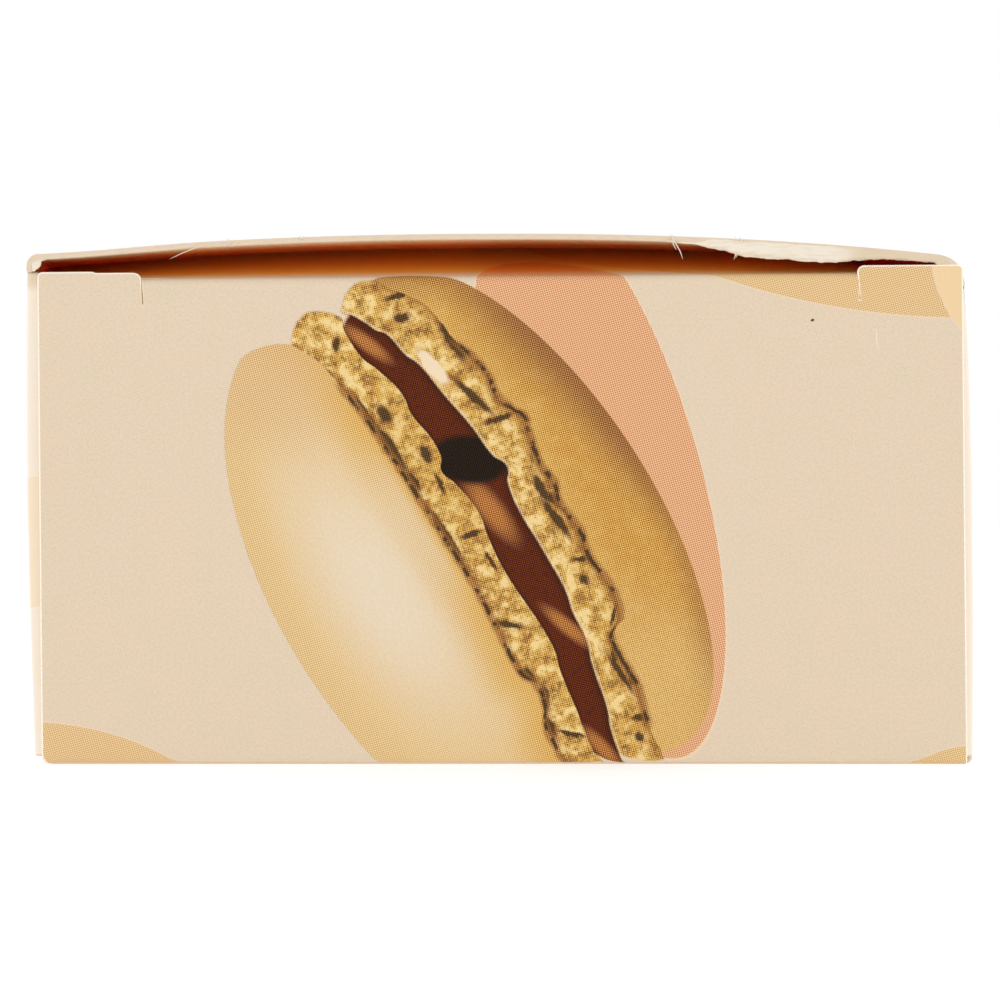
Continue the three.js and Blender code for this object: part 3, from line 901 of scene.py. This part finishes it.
def closure(end):
    """A closure panel with its ears and its tuck flap. end is -1 at the front and 1 at the back."""
    bm = bmesh.new()
    left_cut, right_cut = PANEL_LEFT + EAR_WIDTHS[0], PANEL_RIGHT - EAR_WIDTHS[1]
    middle = between(left_cut + SLIT, right_cut - SLIT, 22)
    nick = [EAR_NICK[0] - 0.1, EAR_NICK[0] + 0.1] if end < 0 else []
    columns = [PANEL_LEFT, *nick, left_cut, *middle, right_cut, PANEL_RIGHT]
    round_fold = BASE_FOLD * math.pi / 2
    upright = TUCK_HEIGHT - TUCK_FOLD - BASE_FOLD
    to_height = BASE_FOLD - round_fold  # added to a distance up the panel, gives its height
    ear_top = TUCK_HEIGHT + EAR_RISE

    def route(x):
        """Out from the base, up the panel, and back over the tuck fold to lie under the lid."""
        tilt = 1 + TUCK_TILT * x / TUCK_HEIGHT
        t = min(1.0, max(0.0, (x - TUCK_TURNS[0]) / TUCK_TURNS[1]))
        meets = TUCK_MEETS[0] + (TUCK_MEETS[1] - TUCK_MEETS[0]) * t
        under = (lid_height(-end * x, END - meets) - BOARD - GAP) / tilt
        pitch = math.degrees(math.atan2(under - TUCK_HEIGHT, meets - TUCK_FOLD))
        path = Route((BASE_FOLD, 0), 180).bend(BASE_FOLD, 90, 8).run(upright, 8)
        path.bend(TUCK_FOLD, 90 - pitch, 8)
        slope = (meets - path.point.x) / math.cos(math.radians(pitch))
        return path.run(slope, 8).bend(TUCK_LEVELS, pitch, 2).run(TUCK_REACH, 1)

    def placed(x, depth, z):
        tilted = z * (1 + TUCK_TILT * x / TUCK_HEIGHT)
        low = max(0.0, 1 - z / FOOT_HEIGHT) ** 2
        lifted = min(1.0, max(0.0, (FOOT_LANDS[0] - x) / FOOT_LANDS[1]))
        tilted += FOOT_LIFT * low * lifted
        x = -end * (x + FOOT_TUCK * low * (x < PANEL_LEFT + 0.5))
        return racked(x, end * (END - PANEL_SET - depth), tilted, PANEL_LEAN)

    def folded(x, distance):
        (depth, z), _ = route(x).at(distance)
        return placed(x, depth, z)

    def between_ears(x, distance):
        (depth, z), _ = route(x).at(distance)
        side = max(0.0, 1 - min(x - left_cut, right_cut - x) / 2)
        slip = UNDER_EAR * side * min(1.0, (distance - foot) / (clear - foot))
        return placed(x + math.copysign(slip, x), depth, z)

    def standing(x, distance):
        risen = (distance - foot) / (clear - foot)
        inner = min(1.0, (PANEL_RIGHT - abs(x)) / EAR_WIDTHS[1])
        low = EAR_NICK[1] * risen if end < 0 and EAR_NICK[0] < x < 0 else 0.0
        x += EAR_SHIFTS[x > 0] * risen * inner
        return placed(x, -PANEL_SET * risen, distance + to_height - low)

    rows = route(0).stations
    foot = SLIT_FOOT - to_height
    clear = ear_top - to_height
    shift = (0.0, to_height)
    sheet(bm, columns, [*[r for r in rows if r < foot - 1], foot], folded, shift)
    fold_rows = [foot, *[r for r in rows if foot < r < clear - 0.1], clear]
    sheet(bm, middle, fold_rows, between_ears, shift)
    sheet(bm, columns, [clear, *[r for r in rows if r > clear + 0.1]], folded, shift)
    for outer, inner in ((PANEL_LEFT, left_cut), (PANEL_RIGHT, right_cut)):
        corners = (((outer, clear), EAR_OUTER), ((inner, clear), EAR_INNER))
        low, high = sorted((outer, inner))
        across = [column for column in columns if low <= column <= high]
        sheet(bm, across, [foot, clear], standing, shift, corners)
    return bm


# Torn board along the front of the lid

# How far the torn edge hangs below the board's own, at places across the lid as it stands.
TORN_RIGHT = (
    (12.4, 0), (14.7, 0.1), (16.8, 0.42), (18.9, 0.84), (23.1, 0.93), (25.8, 0.86),
    (27.8, 0.52), (29.7, 0.36), (31.2, 0.27), (33.5, 0.22), (33.8, 0.46), (34.3, 0.4),
    (35, 0.12), (35.7, 0),
)
TORN_LEFT = ((-36.2, 0.7), (-36, 0.84), (-35.7, 0.66), (-35.48, 0.5), (-35.4, 0.1), (-34.9, 0))
NICKS = (-21.0, -15.3, 13.3, 18.4)  # across, where the edge was nicked
FRAY_FULL = 0.4  # a roll of ply is at its thickest where it hangs this far
FRAY_STEP = 0.08  # from one ring of its mesh to the next


def read_off(table, x):
    """The value at x, smoothly between the places in a table."""
    for (x0, low), (x1, high) in zip(table, table[1:]):
        if x0 <= x <= x1:
            t = (x - x0) / (x1 - x0)
            return low + (high - low) * t * t * (3 - 2 * t)
    return 0.0


def rough(x, size, seed):
    return noise.noise(Vector((x / size, seed, 0.5 * seed)))


def torn_roll(bm, table, over, thick, depth, hang, seed):
    """A roll of torn ply that hangs from the lid's raw edge.

    over is how much of that edge it covers, thick how far it swells out to the front, depth
    how far behind the edge's face it is, and hang how much of the table's drop it has.
    """
    steps = round((table[-1][0] - table[0][0]) / FRAY_STEP)

    def rolled(x, angle):
        # It is ragged in long and in short waves, and swells out unevenly.
        drop = read_off(table, x) * hang
        full = min(1.0, drop / FRAY_FULL)
        drop += full * (0.10 * rough(x, 0.9, seed) + 0.05 * rough(x, 0.25, seed))
        under = lid_height(x + LEAN / 2, LID_END) - BOARD
        top, bottom = under + over, under - drop
        puff = 0.05 + thick * full * (1 + 0.2 * rough(x + math.cos(angle), 0.7, seed + 3))
        out = math.copysign(abs(math.cos(angle)) ** 0.8, math.cos(angle))
        y = -(LID_END - RAW_EDGE - depth) - puff * out
        z = (top + bottom) / 2 + (top - bottom) / 2 * math.sin(angle)
        z += 0.03 * full * rough(x + 2 * math.sin(angle), 0.3, seed + 5)
        return Vector((x, max(y, -END + 0.01), z))

    sheet(bm, between(table[0][0], table[-1][0], steps), between(0, math.tau, 16), rolled)


def frayed_edge():
    bm = bmesh.new()
    torn_roll(bm, TORN_RIGHT, BOARD - 0.05, thick=0.2, depth=0.0, hang=0.92, seed=1.3)
    torn_roll(bm, TORN_RIGHT, BOARD - 0.05, thick=0.2, depth=0.14, hang=1.06, seed=7.7)
    torn_roll(bm, TORN_LEFT, 0.12, thick=0.1, depth=0.02, hang=1.0, seed=4.1)
    return bm


def strand(bm, points, radius):
    """A paper fibre, thinner towards both ends, through some points."""

    def round_it(t, angle):
        place = t * (len(points) - 1)
        i = min(int(place), len(points) - 2)
        middle = points[i].lerp(points[i + 1], place - i)
        way = (points[i + 1] - points[i]).normalized()
        side = way.cross(Vector((0, 1, 0))).normalized()
        thick = radius * (0.25 + 0.75 * math.sin(math.pi * t))
        return middle + thick * (math.cos(angle) * side + math.sin(angle) * side.cross(way))

    sheet(bm, between(0, 1, 3 * (len(points) - 1)), between(0, math.tau, 5), round_it)


def loose_fibres():
    """Fibres raised where the lid's edge was nicked, and one long one across the slot."""
    chance = random.Random(11)
    bm = bmesh.new()
    front = -LID_END - 0.05
    hair = [(-25.5, 38.98), (-24.6, 39.42), (-23.6, 39.82), (-22.5, 40.22)]
    strand(bm, [Vector((x, front, z)) for x, z in hair], 0.035)
    hanging = (
        ((13.2, 40.9), (13.5, 40.3), (13.9, 39.6), (14.1, 39)),
        ((13.4, 40.8), (13.35, 40.2), (13.6, 39.7)),
        ((18.5, 40.3), (18.25, 39.6), (18.05, 38.95)),
        ((18.3, 40.2), (18.35, 39.5), (18.2, 39.1)),
    )
    for line in hanging:
        strand(bm, [Vector((x, front, z)) for x, z in line], 0.045)
    for x in NICKS:
        edge = lid_height(x + LEAN / 2, LID_END)
        for _ in range(9):
            start = Vector((x + chance.uniform(-0.3, 0.3), front, edge - chance.uniform(0.05, 0.5)))
            lean = chance.uniform(-1.1, 1.1)
            step = chance.uniform(0.12, 0.25) * Vector((math.sin(lean), 0, math.cos(lean)))
            bend = Vector((chance.uniform(-0.08, 0.08), 0, chance.uniform(-0.12, 0.02)))
            path = [start, start + step, start + 2 * step + bend]
            strand(bm, [Vector((p.x, p.y, min(p.z, edge + 0.12))) for p in path], 0.04)
    return bm


# From a folded sheet to a finished piece of board
def in_scene(name, data):
    """An object that holds this mesh, camera or lamp, in the scene."""
    holder = bpy.data.objects.new(name, data)
    bpy.context.scene.collection.objects.link(holder)
    return holder


def made_of(name, bm, *materials):
    """Turns a mesh in millimetres into an object in metres, with these materials."""
    bmesh.ops.scale(bm, vec=(MM, MM, MM), verts=bm.verts)
    mesh = bpy.data.meshes.new(name)
    bm.to_mesh(mesh)
    bm.free()
    for material in materials:
        mesh.materials.append(material)
    return in_scene(name, mesh)


def board_piece(name, bm, print_material, edge_material, chip):
    """Gives a folded sheet its thickness, and edges chipped and rounded by this much."""
    bmesh.ops.remove_doubles(bm, verts=bm.verts, dist=WELD)
    piece = made_of(name, bm, print_material, BACK, edge_material)
    thick = piece.modifiers.new("board", "SOLIDIFY")
    thick.thickness = BOARD * MM
    thick.offset = -1
    thick.use_even_offset = True
    thick.material_offset = 1
    thick.material_offset_rim = 2
    chipped = piece.modifiers.new("chipped_edge", "BEVEL")
    chipped.width = chip * MM
    chipped.segments = 2
    chipped.profile = 0.5
    chipped.limit_method = "ANGLE"
    chipped.angle_limit = CHIPPED_FROM
    chipped.material = 2
    chipped.use_clamp_overlap = False
    return dressed(piece)


def loose_piece(name, bm, material):
    """A piece that is solid as it was made."""
    bmesh.ops.remove_doubles(bm, verts=bm.verts, dist=WELD)
    bmesh.ops.holes_fill(bm, edges=bm.edges)
    bmesh.ops.recalc_face_normals(bm, faces=bm.faces)
    return dressed(made_of(name, bm, material))


def dressed(piece):
    """Applies a piece's modifiers and smooths it up to its real edges."""
    shape = bpy.data.meshes.new_from_object(
        piece.evaluated_get(bpy.context.evaluated_depsgraph_get())
    )
    piece.modifiers.clear()
    piece.data = shape
    bm = bmesh.new()
    bm.from_mesh(shape)
    for face in bm.faces:
        face.smooth = True
    for edge in bm.edges:
        kinds = {face.material_index for face in edge.link_faces}
        gentle = edge.is_manifold and edge.calc_face_angle() < SMOOTH_UP_TO
        edge.smooth = gentle and len(kinds) == 1
    bm.to_mesh(shape)
    bm.free()
    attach(piece, "root")
    return piece


PICTURE = macaron_picture()
BACK = uncoated_back()
RAW_BOARD = cut_edge("board_die_cut_edge", BARE_BOARD, BARE_FIBRE)
LINER_EDGE = cut_edge("board_cut_edge_white_liner", WHITE_LINER, LINER_FIBRE)
TORN = torn_ply()
END_PRINT = printed_board("boxboard_offset_printed_end", draw_end)
SLEEVE_PRINT = printed_board("boxboard_offset_printed_sleeve", draw_sleeve)

pieces = [
    board_piece("carton_sleeve", sleeve(), SLEEVE_PRINT, RAW_BOARD, RAW_EDGE),
    board_piece("closure_front", closure(-1), END_PRINT, LINER_EDGE, CUT_EDGE),
    board_piece("closure_back", closure(1), END_PRINT, LINER_EDGE, CUT_EDGE),
    loose_piece("frayed_edge", frayed_edge(), TORN),
    loose_piece("loose_fibres", loose_fibres(), TORN),
]
for piece in pieces[:3]:
    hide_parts("carton")

# Camera, light and floor
EYE_HEIGHT = 20.4  # the camera looks level at the middle of the end
EYE_DISTANCE = 420.0  # from the closure panel
FRAME_WIDTH = 77.16  # what the picture takes in, at the closure panel
SENSOR = 36.0
WHITE_LIGHT = "#FFFFFF"
FLOOR_ACRYLIC = "#ADADAD"  # its light makes up the rest of its white
FLOOR_GLOW = 0.62
FLOOR_REACH = 3000.0  # from its middle to its sides
SOFTBOX = 0.6  # metres along each side
SOFTBOX_POWER = 1.2  # watts


def place_camera():
    camera = bpy.data.cameras.new("camera")
    camera.sensor_width = SENSOR
    camera.lens = SENSOR * EYE_DISTANCE / FRAME_WIDTH
    camera.clip_start = 0.01
    camera.clip_end = 20
    holder = in_scene("camera", camera)
    holder.location = (0, -(END + EYE_DISTANCE) * MM, EYE_HEIGHT * MM)
    holder.rotation_euler = (math.radians(90), 0, 0)
    bpy.context.scene.camera = holder


def light_studio():
    """An even white surround, as in pack photography."""
    world = bpy.data.worlds.new("white_surround")
    world.use_nodes = True
    tree = world.node_tree
    tree.nodes.clear()
    surround = add(tree, "Background", {"Color": linear(WHITE_LIGHT), "Strength": 1.0})
    add(tree, "OutputWorld", {"Surface": surround})
    bpy.context.scene.world = world


def hang_softboxes():
    """A large softbox on either side, a little above the carton and behind it."""
    for name, side in (("softbox_left", -1), ("softbox_right", 1)):
        lamp = bpy.data.lights.new(name, "AREA")
        lamp.size = SOFTBOX
        lamp.energy = SOFTBOX_POWER
        holder = in_scene(name, lamp)
        holder.location = (0.7 * side, 0.25, 0.15)
        holder.rotation_euler = (-holder.location).to_track_quat("-Z", "Y").to_euler()


def lay_floor():
    """White acrylic, lit a little from below, as a light table is.

    It is so even that it shows only as white with a faint shade under the carton. Acrylic has
    an IOR of about 1.5, and a satin sheet a roughness of 0.6.
    """
    bm = bmesh.new()
    bmesh.ops.create_grid(bm, x_segments=1, y_segments=1, size=FLOOR_REACH)
    material, tree = new_material("acrylic_white_lit")
    finish_material(
        tree,
        Base_Color=linear(FLOOR_ACRYLIC),
        Roughness=0.6,
        Emission_Color=linear(WHITE_LIGHT),
        Emission_Strength=FLOOR_GLOW,
    )
    made_of("floor", bm, material)


place_camera()
light_studio()
hang_softboxes()
lay_floor()
bpy.context.scene.view_settings.view_transform = "Standard"
